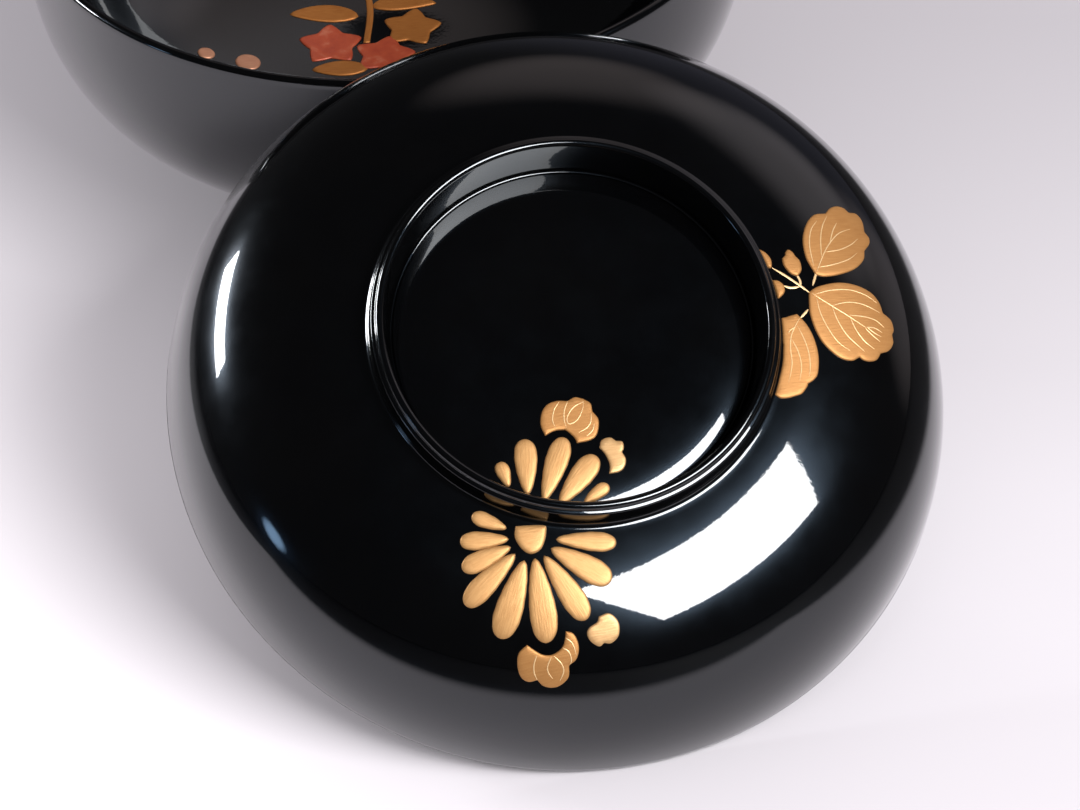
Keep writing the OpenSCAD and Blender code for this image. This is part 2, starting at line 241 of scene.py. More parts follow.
# ---------------------------------------------------------------- meshes
def make_object(name, points, faces, body):
    """A mesh of points in millimetres in the body's own frame, put in place and riding on its body."""
    mesh = bpy.data.meshes.new(name)
    mesh.from_pydata([PLACE[body] @ Vector(p * MM) for p in np.asarray(points, float)], [], faces)
    mesh.validate()
    mesh.polygons.foreach_set("use_smooth", [True] * len(mesh.polygons))
    thing = bpy.data.objects.new(name, mesh)
    scene.collection.objects.link(thing)
    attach(thing, body)
    return thing


def ring_faces(first, second):
    """Faces between two rings of vertices; a ring of one vertex is a point on the axis."""
    m, n = len(first), len(second)
    faces = []
    for i in range(TURNS):
        j = (i + 1) % TURNS
        face = [first[i % m], first[j % m], second[j % n], second[i % n]]
        faces.append([v for k, v in enumerate(face) if v != face[k - 1]])
    return faces


def set_normals(thing, body, normals, smooth):
    """Gives the smooth faces the outline's own normals, and keeps the other faces flat."""
    turn = PLACE[body].to_3x3()
    turned = [turn @ Vector(n) for n in normals]
    corner_normals = []
    for polygon, is_smooth in zip(thing.data.polygons, smooth):
        corner_normals += [turned[v] if is_smooth else polygon.normal for v in polygon.vertices]
    thing.data.normals_split_custom_set(corner_normals)


def turned_piece(name, body, stretch, node, solid=False):
    """A skin of lacquer turned round the axis. A solid stretch closes straight across its open side."""
    line, normal = OUTLINE[body][stretch]
    back = line[[0, -1]] if solid else line - COAT * normal
    back = np.column_stack((np.maximum(back[:, 0], 0), back[:, 1]))
    if not solid:
        back[line[:, 0] < ON_AXIS, 0] = 0
    around = np.arange(TURNS) * 2 * math.pi / TURNS
    points, rings, normals = [], [], []
    loop = line if solid else np.vstack((line, back[::-1]))
    for k, (r, z) in enumerate(loop):
        a = around if r > ON_AXIS else around[:1]
        rings.append(range(len(points), len(points) + len(a)))
        points += [(r * math.cos(t), r * math.sin(t), z) for t in a]
        n = normal[k] if k < len(line) else -normal[len(loop) - 1 - k]
        normals += [(n[0] * math.cos(t), n[0] * math.sin(t), n[1]) for t in a]
    faces, smooth = [], []
    closed = loop[0, 0] > ON_AXIS and loop[-1, 0] > ON_AXIS
    for k in range(len(loop) if closed else len(loop) - 1):
        nxt = (k + 1) % len(loop)
        if len(rings[k]) == 1 and len(rings[nxt]) == 1:
            continue
        new = ring_faces(rings[k], rings[nxt])
        faces += new
        smooth += [k < len(line) - 1 or len(line) <= k < len(loop) - 1] * len(new)
    thing = make_object(name, points, faces, body)
    set_normals(thing, body, normals, smooth)
    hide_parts(node)
    thing.data.materials.append(black_lacquer())


# ---------------------------------------------------------------- draping on the turned surfaces
def surface_line(name):
    """Radius, height and normal of a turned surface from the axis outwards."""
    if name == "bowl":
        line, normal = OUTLINE["bowl"]["inner"]
    elif name == "recess":
        line, normal = OUTLINE["lid"]["grip"]
        line, normal = line[-FLOOR_STEPS:], normal[-FLOOR_STEPS:]
    else:
        grip, dome = OUTLINE["lid"]["grip"], OUTLINE["lid"]["outer"]
        fillet = slice(1, CORNER_STEPS + 1)  # between the dome and the ring
        line = np.vstack((dome[0], grip[0][fillet]))
        normal = np.vstack((dome[1], grip[1][fillet]))
    order = np.argsort(line[:, 0])
    return line[order], normal[order]


SURFACE = {name: surface_line(name) for name in ("dome", "recess", "bowl")}


def draped(surface, plan, height):
    """Points at a height over a surface, above their places in plan."""
    line, normal = SURFACE[surface]
    r = np.maximum(np.linalg.norm(plan, axis=1), ON_AXIS)
    z = np.interp(r, line[:, 0], line[:, 1])
    nr = np.interp(r, line[:, 0], normal[:, 0])
    nz = np.interp(r, line[:, 0], normal[:, 1])
    outward = np.column_stack((plan[:, 0] / r * nr, plan[:, 1] / r * nr, nz))
    outward /= np.linalg.norm(outward, axis=1)[:, None]
    return np.column_stack((plan, z)) + outward * np.asarray(height)[:, None]


def edge_distance(points, outline):
    """Distance of each point from a closed outline."""
    a, b = outline, np.roll(outline, -1, axis=0)
    d = b - a
    t = np.einsum("mni,ni->mn", points[:, None] - a, d) / np.maximum((d * d).sum(1), 1e-12)
    nearest = a + np.clip(t, 0, 1)[..., None] * d
    return np.linalg.norm(points[:, None] - nearest, axis=2).min(1)


def resampled(line, step):
    """The same line with its points about one step apart."""
    gap = np.linalg.norm(np.diff(line, axis=0), axis=1)
    at = np.concatenate(([0], np.cumsum(gap)))
    count = max(2, round(at[-1] / step) + 1)
    where = np.linspace(0, at[-1], count)
    return np.column_stack([np.interp(where, at, line[:, k]) for k in (0, 1)])


def curve(points, steps=10):
    """A smooth line through a few points (Catmull-Rom)."""
    p = np.array(points, float)
    if len(p) == 2:
        return p
    p = np.vstack((2 * p[0] - p[1], p, 2 * p[-1] - p[-2]))
    t = np.linspace(0, 1, steps, endpoint=False)[:, None]
    line = [
        (2 * b + (c - a) * t + (2 * a - 5 * b + 4 * c - d) * t ** 2 + (3 * b - a - 3 * c + d) * t ** 3) * 0.5
        for a, b, c, d in zip(p, p[1:], p[2:], p[3:])
    ]
    return np.vstack(line + [p[-2:-1]])


def lobed(*lobes):
    """A closed outline of smooth lobes. Each is a list of points, and the lobes meet in sharp notches."""
    line = []
    for i, lobe in enumerate(lobes):
        notch = lobes[(i + 1) % len(lobes)][0]
        line.append(resampled(curve([*lobe, notch]), OUTLINE_STEP)[:-1])
    return np.vstack(line)


def signed_area(outline):
    """The area inside an outline, positive when it runs counterclockwise."""
    x, y = outline.T
    return 0.5 * float(np.sum(x * np.roll(y, -1) - np.roll(x, -1) * y))


class Gold:
    """A raised patch of gold: a plan outline on a surface, its height and its rounded edge."""

    def __init__(self, surface, outline, lift, edge, crown=0.0, grain=0.0, clear=0.0):
        if signed_area(outline) < 0:
            outline = outline[::-1]
        if clear:
            r = np.linalg.norm(outline, axis=1)
            outline = outline * (np.maximum(r, clear) / r)[:, None]
        self.surface, self.outline, self.lift, self.edge = surface, outline, lift, edge
        self.crown, self.grain = crown, grain

    def height(self, plan):
        """Round at the edge, then a slight crown."""
        d = edge_distance(plan, self.outline)
        near = 1 - np.clip(d / self.edge, 0, 1)
        return self.lift * np.sqrt(np.clip(1 - near ** 2, 0, 1)) + self.crown * np.tanh(d / (2 * self.edge))

    def fill(self):
        """Plan points and triangles that fill the outline, closest together along its edge."""
        n = len(self.outline)
        along = np.roll(self.outline, -1, axis=0) - np.roll(self.outline, 1, axis=0)
        inward = np.column_stack((-along[:, 1], along[:, 0])) / np.linalg.norm(along, axis=1)[:, None]
        inside = []
        for share in EDGE_ROWS:
            moved = self.outline + inward * share * self.edge
            clear_of_notches = edge_distance(moved, self.outline) > share * self.edge * 0.97
            inside.append(moved[clear_of_notches])
        low, high = self.outline.min(0), self.outline.max(0)
        columns = np.arange(low[0], high[0], GRID_STEP)
        rows = np.arange(low[1], high[1], GRID_STEP * 0.87)  # a grid of nearly equal-sided triangles
        x, y = np.meshgrid(columns, rows)
        x[1::2] += GRID_STEP / 2
        grid = np.column_stack((x.ravel(), y.ravel()))
        grid = grid[inside_of(grid, self.outline)]
        inside.append(grid[edge_distance(grid, self.outline) > EDGE_ROWS[-1] * self.edge + GRID_STEP / 2])
        points = np.vstack([self.outline] + inside)
        found = delaunay_2d_cdt([Vector(p) for p in points], [], [list(range(n))], 1, 1e-6)
        return np.array([tuple(v) for v in found[0]]), [list(f) for f in found[2]]


def inside_of(points, outline):
    """Which of the points lie inside a closed outline."""
    a, b = outline, np.roll(outline, -1, axis=0)
    y = points[:, 1][:, None]
    crosses = (a[:, 1] > y) != (b[:, 1] > y)
    rise = np.where(np.abs(b[:, 1] - a[:, 1]) < 1e-12, 1e-12, b[:, 1] - a[:, 1])
    at = a[:, 0] + (y - a[:, 1]) / rise * (b[:, 0] - a[:, 0])
    return (crosses & (points[:, 0][:, None] < at)).sum(1) % 2 == 1


def border_edges(faces):
    """The directed edges that only one face has."""
    edges = {(f[k], f[(k + 1) % len(f)]) for f in faces for k in range(len(f))}
    return [e for e in edges if (e[1], e[0]) not in edges]


def gold_piece(name, body, node, patches, material):
    """One piece made of raised patches, each a closed form bedded in the lacquer."""
    points, faces, grain = [], [], []
    for patch in patches:
        plan, tris = patch.fill()
        if signed_area(plan[tris[0]]) < 0:
            tris = [t[::-1] for t in tris]
        base, n = len(points), len(plan)
        points += list(draped(patch.surface, plan, patch.height(plan)))
        points += list(draped(patch.surface, plan, np.full(n, -BEDDED)))
        faces += [[base + v for v in t] for t in tris]
        faces += [[base + n + v for v in t[::-1]] for t in tris]
        faces += [[base + b, base + a, base + n + a, base + n + b] for a, b in sorted(border_edges(tris))]
        c, s = math.cos(patch.grain), math.sin(patch.grain)
        turned = np.column_stack((plan @ (c, s), plan @ (-s, c), np.full(n, patch.grain * GRAIN_APART)))
        grain += [turned, turned]
    finished(name, body, node, points, faces, np.vstack(grain), material)


def finished(name, body, node, points, faces, grain, material):
    """The object of a gold piece, with the direction of its grain stored on its points."""
    thing = make_object(name, points, faces, body)
    field = thing.data.attributes.new("grain", "FLOAT_VECTOR", "POINT")
    field.data.foreach_set("vector", grain.astype(np.float32).ravel())
    thing.data.set_sharp_from_angle(angle=SHARP)
    if node:
        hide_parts(node)
    thing.data.materials.append(material)
    return thing


def vein_piece(name, surface, ground, veins, width):
    """Fine raised lines on the lid, over the ground's height. Each line is a list of plan points."""
    across, up = np.array(VEIN_SECTION).T
    points, faces, grain = [], [], []
    for vein in veins:
        line = resampled(curve(vein), VEIN_STEP)
        side = np.gradient(line, axis=0)
        side = np.column_stack((-side[:, 1], side[:, 0])) / np.linalg.norm(side, axis=1)[:, None]
        t = np.linspace(0, 1, len(line))
        half = width / 2 * (0.35 + 0.65 * np.clip(np.minimum(t * 6, (1 - t) * 4), 0, 1))  # finer at both ends
        m, base = len(across), len(points)
        plan = (line[:, None] + side[:, None] * half[:, None, None] * across[:, None]).reshape(-1, 2)
        top = np.repeat(ground(line), m) + np.tile(up, len(line)) * VEIN_RISE
        points += list(draped(surface, plan, top))
        grain.append(np.column_stack((plan, np.zeros(len(plan)))))
        for i in range(len(line) - 1):
            for j in range(m):
                k, q = base + i * m + j, base + i * m + (j + 1) % m
                faces.append([k, q, q + m, k + m])
        faces += [[base + j for j in range(m)][::-1], [base + (len(line) - 1) * m + j for j in range(m)]]
    faces = [f[::-1] for f in faces]
    return finished(name, "lid", None, points, faces, np.vstack(grain), vein_gold())


# ---------------------------------------------------------------- materials
class Nodes:
    """A material's node tree, with short calls for what the materials here share."""

    def __init__(self, name):
        self.material = bpy.data.materials.new(name)
        self.material.use_nodes = True
        self.tree = self.material.node_tree
        self.shader = next(n for n in self.tree.nodes if n.type == "BSDF_PRINCIPLED")

    def add(self, kind, **values):
        node = self.tree.nodes.new(kind)
        for key, value in values.items():
            setattr(node, key, value)
        return node

    def link(self, out, into):
        self.tree.links.new(out, into)

    def set(self, **values):
        """Values of the shader's sockets, named with _ for a space."""
        for key, value in values.items():
            self.shader.inputs[key.replace("_", " ")].default_value = value

    def place(self, attribute=None):
        """Object coordinates, or a mesh attribute."""
        if attribute:
            return self.add("ShaderNodeAttribute", attribute_name=attribute).outputs["Vector"]
        return self.add("ShaderNodeTexCoord").outputs["Object"]

    def stretched(self, vector, scale):
        mapping = self.add("ShaderNodeMapping")
        mapping.inputs["Scale"].default_value = scale
        self.link(vector, mapping.inputs["Vector"])
        return mapping.outputs["Vector"]

    def noise(self, vector, scale, detail=3.0, roughness=0.55):
        noise = self.add("ShaderNodeTexNoise")
        noise.inputs["Scale"].default_value = scale
        noise.inputs["Detail"].default_value = detail
        noise.inputs["Roughness"].default_value = roughness
        self.link(vector, noise.inputs["Vector"])
        return noise.outputs["Fac"]

    def ramp(self, factor, *stops):
        node = self.add("ShaderNodeValToRGB")
        ramp = node.color_ramp
        while len(ramp.elements) < len(stops):
            ramp.elements.new(0.5)
        for element, (at, colour) in zip(ramp.elements, stops):
            element.position = at
            element.color = (*colour, 1)
        self.link(factor, node.inputs["Fac"])
        return node.outputs["Color"]

    def blend(self, factor, a, b):
        mix = self.add("ShaderNodeMix", data_type="RGBA")
        for value, socket in ((factor, mix.inputs[0]), (a, mix.inputs[6]), (b, mix.inputs[7])):
            if isinstance(value, bpy.types.NodeSocket):
                self.link(value, socket)
            else:
                socket.default_value = value
        return mix.outputs[2]

    def spread(self, factor, low, high):
        """Maps a noise's middle range to low...high."""
        node = self.add("ShaderNodeMapRange")
        for key, value in (("From Min", 0.3), ("From Max", 0.7), ("To Min", low), ("To Max", high)):
            node.inputs[key].default_value = value
        self.link(factor, node.inputs["Value"])
        return node.outputs["Result"]

    def bump(self, height, distance, below=None):
        bump = self.add("ShaderNodeBump")
        bump.inputs["Strength"].default_value = 1.0
        bump.inputs["Distance"].default_value = distance
        self.link(height, bump.inputs["Height"])
        if below:
            self.link(below, bump.inputs["Normal"])
        return bump.outputs["Normal"]


MADE = {}


def once(build):
    """Each material is built once and shared."""
    def wrapper(*args):
        key = (build.__name__, *args)
        if key not in MADE:
            MADE[key] = build(*args)
        return MADE[key]
    return wrapper


@once
def black_lacquer():
    """Polished urushi: a clear hard coat over a softer black that scatters a faint bluish haze."""
    m = Nodes("black_lacquer")
    place = m.place()
    tone = m.noise(place, 55.0)
    m.link(m.ramp(tone, (0.3, (0.0003, 0.0003, 0.0004)), (0.7, (0.0006, 0.0005, 0.0005))),
           m.shader.inputs["Base Color"])
    m.link(m.spread(m.noise(place, 180.0), 0.17, 0.23), m.shader.inputs["Roughness"])
    m.set(IOR=1.5, Specular_IOR_Level=0.14, Coat_Weight=1.0, Coat_Roughness=0.025, Coat_IOR=1.53)
    m.shader.inputs["Specular Tint"].default_value = (0.55, 0.75, 1.0, 1)
    ripple = m.bump(m.noise(place, 1500.0, detail=2.0), 0.0000022)
    ripple = m.bump(m.noise(place, 130.0, detail=1.0), 0.0000035, ripple)
    m.link(ripple, m.shader.inputs["Normal"])
    m.link(ripple, m.shader.inputs["Coat Normal"])
    return m.material


@once
def gold(name, deep, light, roughness):
    """Gold powder burnished over raised lacquer: fine grain, with faint strokes along the shape."""
    m = Nodes(name)
    grain = m.place("grain")
    strokes = m.noise(m.stretched(grain, (0.35, 3.2, 1.0)), 1.3)
    clouds = m.noise(grain, 0.45)
    powder = m.noise(grain, 16.0, detail=4.0, roughness=0.7)
    colour = m.ramp(strokes, (0.32, deep), (0.68, light))
    colour = m.blend(m.spread(clouds, 0.0, 0.5), colour, (*light, 1))
    colour = m.blend(m.spread(powder, 0.0, 0.35), colour, (*(c * 0.72 for c in deep), 1))
    m.link(colour, m.shader.inputs["Base Color"])
    m.link(m.spread(powder, roughness - 0.05, roughness + 0.07), m.shader.inputs["Roughness"])
    m.set(Metallic=0.6)
    normal = m.bump(powder, 0.000012)
    normal = m.bump(strokes, 0.00003, normal)
    m.link(normal, m.shader.inputs["Normal"])
    return m.material


def petal_gold():
    return gold("petal_gold", (0.37, 0.187, 0.063), (0.45, 0.25, 0.096), 0.5)


def leaf_gold():
    return gold("leaf_gold", (0.31, 0.137, 0.038), (0.375, 0.182, 0.057), 0.5)


def bud_gold():
    return gold("bud_gold", (0.38, 0.21, 0.085), (0.47, 0.29, 0.13), 0.45)


def amber_gold():
    return gold("amber_gold", (0.28, 0.09, 0.015), (0.37, 0.14, 0.03), 0.5)


def vein_gold():
    return gold("vein_gold", (0.62, 0.40, 0.19), (0.72, 0.50, 0.27), 0.42)


def rose_gold():
    return gold("rose_gold", (0.37, 0.155, 0.09), (0.45, 0.22, 0.13), 0.45)


@once
def red_gold():
    """Red lacquer dusted with gold, paler in soft patches."""
    m = Nodes("red_gold")
    grain = m.place("grain")
    clouds = m.noise(grain, 0.35)
    powder = m.noise(grain, 14.0, detail=4.0, roughness=0.7)
    colour = m.ramp(clouds, (0.35, (0.22, 0.014, 0.006)), (0.55, (0.27, 0.028, 0.01)),
                    (0.7, (0.33, 0.08, 0.045)))
    colour = m.blend(m.spread(powder, 0.0, 0.25), colour, (0.42, 0.16, 0.05, 1))
    m.link(colour, m.shader.inputs["Base Color"])
    m.link(m.spread(powder, 0.38, 0.5), m.shader.inputs["Roughness"])
    m.set(Metallic=0.3)
    m.link(m.bump(powder, 0.00001), m.shader.inputs["Normal"])
    return m.material


@once
def turned_wood():
    """Pale turned wood with growth rings, under the lacquer."""
    m = Nodes("turned_wood")
    place = m.place()
    wave = m.add("ShaderNodeTexWave", wave_type="RINGS", rings_direction="Y")
    wave.inputs["Scale"].default_value = 90.0
    wave.inputs["Distortion"].default_value = 3.0
    m.link(place, wave.inputs["Vector"])
    m.link(m.ramp(wave.outputs["Fac"], (0.2, (0.42, 0.26, 0.13)), (0.8, (0.58, 0.40, 0.23))),
           m.shader.inputs["Base Color"])
    m.link(m.spread(m.noise(place, 300.0), 0.55, 0.7), m.shader.inputs["Roughness"])
    return m.material


# ---------------------------------------------------------------- wood and lacquer
def build_lacquer():
    """A turned skin in place of each lacquer node, and wood on the two cores."""
    turned_piece("bowl_outside", "bowl", "outer", "bowl_outer_lacquer")
    turned_piece("bowl_inside", "bowl", "inner", "bowl_inner_lacquer")
    turned_piece("bowl_rim_bead", "bowl", "rim", "bowl_rim", solid=True)
    turned_piece("bowl_foot_edge", "bowl", "foot", "bowl_foot_rim", solid=True)
    turned_piece("bowl_base", "bowl", "base", "bowl_base_lacquer")
    turned_piece("lid_outside", "lid", "outer", "lid_outer_lacquer")
    turned_piece("lid_inside", "lid", "inner", "lid_inner_lacquer")
    turned_piece("lid_rim_bead", "lid", "rim", "lid_rim", solid=True)
    turned_piece("lid_grip_ring", "lid", "grip", "lid_grip_lacquer")
    for node in ("bowl_wood_core", "lid_wood_core"):
        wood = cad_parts[node]
        wood.data.materials.clear()
        wood.data.materials.append(turned_wood())


# ---------------------------------------------------------------- the bowl's gold
def star(middle, radius, points, turn):
    """A leaf with pointed lobes, each rising from two thirds of the radius to its tip."""
    a = np.linspace(0, 2 * math.pi, 20 * points, endpoint=False)
    tip = (1 - np.abs(np.sin(points / 2 * (a - math.radians(turn))))) ** 0.8
    r = radius * (0.68 + 0.32 * tip)
    return np.array(middle) + np.column_stack((r * np.cos(a), r * np.sin(a)))


def disc(middle, radius):
    """A round outline."""
    a = np.linspace(0, 2 * math.pi, 60, endpoint=False)
    return np.array(middle) + radius * np.column_stack((np.cos(a), np.sin(a)))


def almond(base, bend, tip, width):
    """A plain leaf along a bent line, widest a little before its middle."""
    a, b, c = (np.array(p, float) for p in (base, bend, tip))
    t = np.linspace(0, 1, 25)[:, None]
    line = a * (1 - t) ** 2 + 2 * b * t * (1 - t) + c * t ** 2
    along = np.gradient(line, axis=0)
    side = np.column_stack((-along[:, 1], along[:, 0])) / np.linalg.norm(along, axis=1)[:, None]
    half = width / 2 * np.sin(math.pi * t ** 0.85) ** 0.7
    return np.vstack((line + side * half, (line - side * half)[-2:0:-1]))


def in_bowl(outline):
    """A leaf or drop on the bowl's inside."""
    return Gold("bowl", outline, lift=0.3, edge=0.4)


def build_branch():
    """The stalk that carries the leaves inside the bowl."""
    half_width = 0.6
    stalk = curve([(-4.9, 6.8), (-4.5, 18), (-7.5, 33)])
    side = np.gradient(stalk, axis=0)
    side = np.column_stack((-side[:, 1], side[:, 0])) / np.linalg.norm(side, axis=1)[:, None] * half_width
    outline = resampled(np.vstack((stalk + side, (stalk - side)[::-1])), 0.2)[:-1]
    branch = Gold("bowl", outline, lift=0.2, edge=0.3, grain=1.5)
    gold_piece("bowl_branch_gold", "bowl", "bowl_branch", [branch], amber_gold())


def build_bowl_gold():
    """The branch inside the bowl, with its gold and red leaves and two drops beside it."""
    build_branch()
    leaves = [
        almond((-6.4, 14.4), (-12, 15.8), (-18.6, 14.6), 4.6),
        almond((-4, 17), (1, 18.8), (7.4, 17.4), 4.0),
        almond((-7.6, 22.5), (-13, 26.5), (-19.5, 27), 4.8),
        almond((-5.2, 26), (0, 29.5), (6, 30.5), 4.4),
        almond((-4.6, -0.7), (-9.4, -0.2), (-14.4, -1), 4.3),
        star((3.0, 10.9), 5.4, 5, 10),
    ]
    red_leaves = [star((-11.2, 6.4), 5.8, 5, 165), star((-1.8, 3.2), 5.6, 5, 150)]
    drops = [disc((-25.5, 0.3), 2.2), disc((-32.7, 1.3), 1.5)]
    gold_piece("bowl_leaves_gold", "bowl", "bowl_gold_leaves",
               [in_bowl(outline) for outline in leaves], amber_gold())
    gold_piece("bowl_leaves_red", "bowl", "bowl_red_leaves",
               [in_bowl(outline) for outline in red_leaves], red_gold())
    gold_piece("bowl_drops_gold", "bowl", "bowl_gold_drops",
               [in_bowl(outline) for outline in drops], rose_gold())


# ---------------------------------------------------------------- the lid's gold
FLOWER = (-13.4, -30.8)  # middle of the chrysanthemum in the lid's plan
CROWN_SHIFT = (0.18, 0.37)  # how far gold moves left and to the front per millimetre that its floor rises


def on_crown(plan):
    """Moves a plan outline, drawn for a flat recess floor, in step with the crown below it."""
    rise = recess_height(np.minimum(np.linalg.norm(plan, axis=1), RECESS_R)) - RECESS_Z
    return plan - rise[:, None] * CROWN_SHIFT


def petal(surface, angle, root, tip, width, clear=0.0):
    """A long rounded petal of the chrysanthemum, from root to tip along its angle."""
    a = math.radians(angle)
    u = np.sin(np.linspace(0, math.pi / 2, 40))
    # narrow at the root, fullest past the middle and round at the tip
    half = width / 2 * u ** 0.55 * np.sqrt(np.clip(1 - u ** 4.4, 0, 1)) / 0.7 + 0.05 * (1 - u)
    along = root + (tip - root) * u
    x, y = np.concatenate((along, along[-2::-1])), np.concatenate((half, -half[-2::-1]))
    y = y + 0.02 * np.sin(3.1 * x + angle) * np.sign(y)  # the faint waver of a hand-drawn edge
    plan = np.column_stack((FLOWER[0] + x * math.cos(a) - y * math.sin(a),
                            FLOWER[1] + x * math.sin(a) + y * math.cos(a)))
    plan = resampled(np.vstack((plan, plan[:1])), OUTLINE_STEP)[:-1]
    if surface == "recess":
        plan = on_crown(plan)
    return Gold(surface, plan, lift=0.3, edge=0.42, crown=0.12, grain=a, clear=clear)


OUTER_PETALS = [  # on the dome: angle, root and tip from the middle, width
    (147, 3.9, 9.3, 2.2), (171, 3.3, 10.4, 2.6), (192, 3.3, 11.0, 2.8), (213, 3.3, 13.4, 3.3),
    (241, 3.4, 14.6, 3.9), (268, 3.0, 14.8, 3.8), (294, 3.2, 14.1, 3.4), (321, 3.2, 13.2, 3.6),
    (346, 3.6, 12.5, 2.8),
]
INNER_PETALS = [  # in the recess, beyond the ring that crosses the flower
    (97, 9.3, 13.4, 2.1), (80, 7.6, 16.4, 3.3), (60.5, 7.0, 17.6, 3.3), (42.5, 7.6, 17.2, 3.4),
    (27, 10.4, 15.1, 2.0),
]


def build_flower():
    """A chrysanthemum that starts on the dome and carries on inside the ring."""
    shield = lobed([(-15.3, -28.6), (-15.75, -30), (-15.4, -31.5), (-14.6, -32.7), (-13.6, -33.1),
                    (-12.4, -32.7), (-11.5, -31.5), (-10.9, -29.8), (-11.2, -29.3), (-13, -28.9)])
    heart = Gold("dome", shield, lift=0.35, edge=0.5, crown=0.12, clear=RING_CLEAR)
    gold_piece("flower_heart", "lid", "flower_disc", [heart], petal_gold())
    gold_piece("flower_petals_on_dome", "lid", "flower_outer_petals",
               [petal("dome", *p, clear=RING_CLEAR) for p in OUTER_PETALS], petal_gold())
    gold_piece("flower_petals_in_recess", "lid", "flower_inner_petals",
               [petal("recess", *p) for p in INNER_PETALS], petal_gold())


def leaf_with_veins(name, node, surface, outline, veins=(), clear=0.0, tone=leaf_gold):
    """A leaf of the lid with the fine lines on it as a piece of their own."""
    if surface == "recess":
        outline = on_crown(outline)
        veins = [on_crown(np.array(vein)) for vein in veins]
    leaf = Gold(surface, outline, lift=0.24, edge=0.3, crown=0.05, clear=clear)
    gold_piece(name, "lid", node, [leaf], tone())
    if len(veins):
        vein_piece(name + "_veins", surface, leaf.height, veins, VEIN_WIDTH)


def build_curled_leaves():
    """A curled leaf and a bud leaf at each end of the flower."""
    leaf_with_veins(
        "recess_leaf_gold", "recess_leaf", "recess",
        lobed([(-7.5, -14.7), (-7.8, -12.9), (-7.2, -11), (-6.1, -9.9), (-4.6, -9.6)],
              [(-3, -9.9), (-1.8, -9.5)], [(-0.6, -10), (0.3, -10.9)],
              [(0.3, -12.2), (0.9, -13.7), (0.2, -15.8), (-1, -16.6)],
              [(-3.1, -16.7), (-3.3, -15.8), (-3.8, -15)], [(-4.4, -14.3), (-5.9, -14.2)]),
        [[(-4.3, -9.9), (-5.3, -11), (-5.9, -12.6), (-5.7, -13.9)],
         [(-3, -10), (-3.8, -11.3), (-4.2, -12.9), (-4.1, -14.1)],
         [(-0.7, -10.5), (-2.5, -11.2), (-3.7, -12.6), (-3.6, -13.6), (-2.3, -13.2), (-1.2, -11.8),
          (-0.7, -10.5)],
         [(0, -12.5), (-0.4, -13.9), (-1.2, -14.7), (-2.5, -15.2)],
         [(0.1, -14.2), (-0.4, -15.2), (-1.5, -16)]])
    leaf_with_veins(
        "recess_bud_gold", "recess_bud_leaf", "recess",
        lobed([(0, -18), (0.6, -16.9), (1.9, -16.7)], [(2.7, -17.4), (3.6, -17.7), (3.6, -18.7)],
              [(3.2, -19.3), (3.5, -20.5), (3, -21.7), (2, -22.3)],
              [(0.5, -22.3), (0.9, -20.9), (0.6, -19.2)]),
        tone=bud_gold)
    leaf_with_veins(
        "lower_leaf_gold", "lower_leaf", "dome",
        lobed([(-16.8, -45.2), (-18.2, -46), (-18.6, -47.5), (-18.3, -48.9), (-17.3, -49.7)],
              [(-16, -49.8), (-15.3, -50.6), (-14.1, -51.1), (-12.8, -51.1), (-11.5, -50.4)],
              [(-11.2, -49), (-10.1, -48.5), (-9.5, -47.4), (-9.5, -46.2), (-10, -45.1)],
              [(-11, -44.6), (-11.3, -45.6), (-11.9, -46.6), (-13.3, -47.2), (-14.8, -46.9), (-16.1, -45.9)]),
        [[(-15.6, -46.7), (-16.2, -47.8), (-16.3, -48.8), (-16, -49.7)],
         [(-13.6, -47.4), (-14.3, -48.4), (-14.3, -49.2), (-13.8, -50)],
         [(-13.2, -47.4), (-12.3, -48.5), (-12.1, -49.5), (-12.8, -50.5)],
         [(-11.8, -46.6), (-11, -47.3), (-10.8, -48.4), (-11.2, -49)],
         [(-11.2, -45.4), (-10.3, -46.4), (-10, -47.9)]])
    leaf_with_veins(
        "lower_bud_gold", "lower_bud_leaf", "dome",
        lobed([(-5.9, -43.6), (-6.3, -44.3), (-7.5, -44.8), (-8, -45.6), (-7.6, -46.7), (-6.5, -47.5)],
              [(-5.7, -47.2), (-4.7, -47.4), (-3.5, -46.7), (-3.1, -45.4), (-3.4, -44.3), (-4.4, -43.4)]),
        tone=bud_gold)


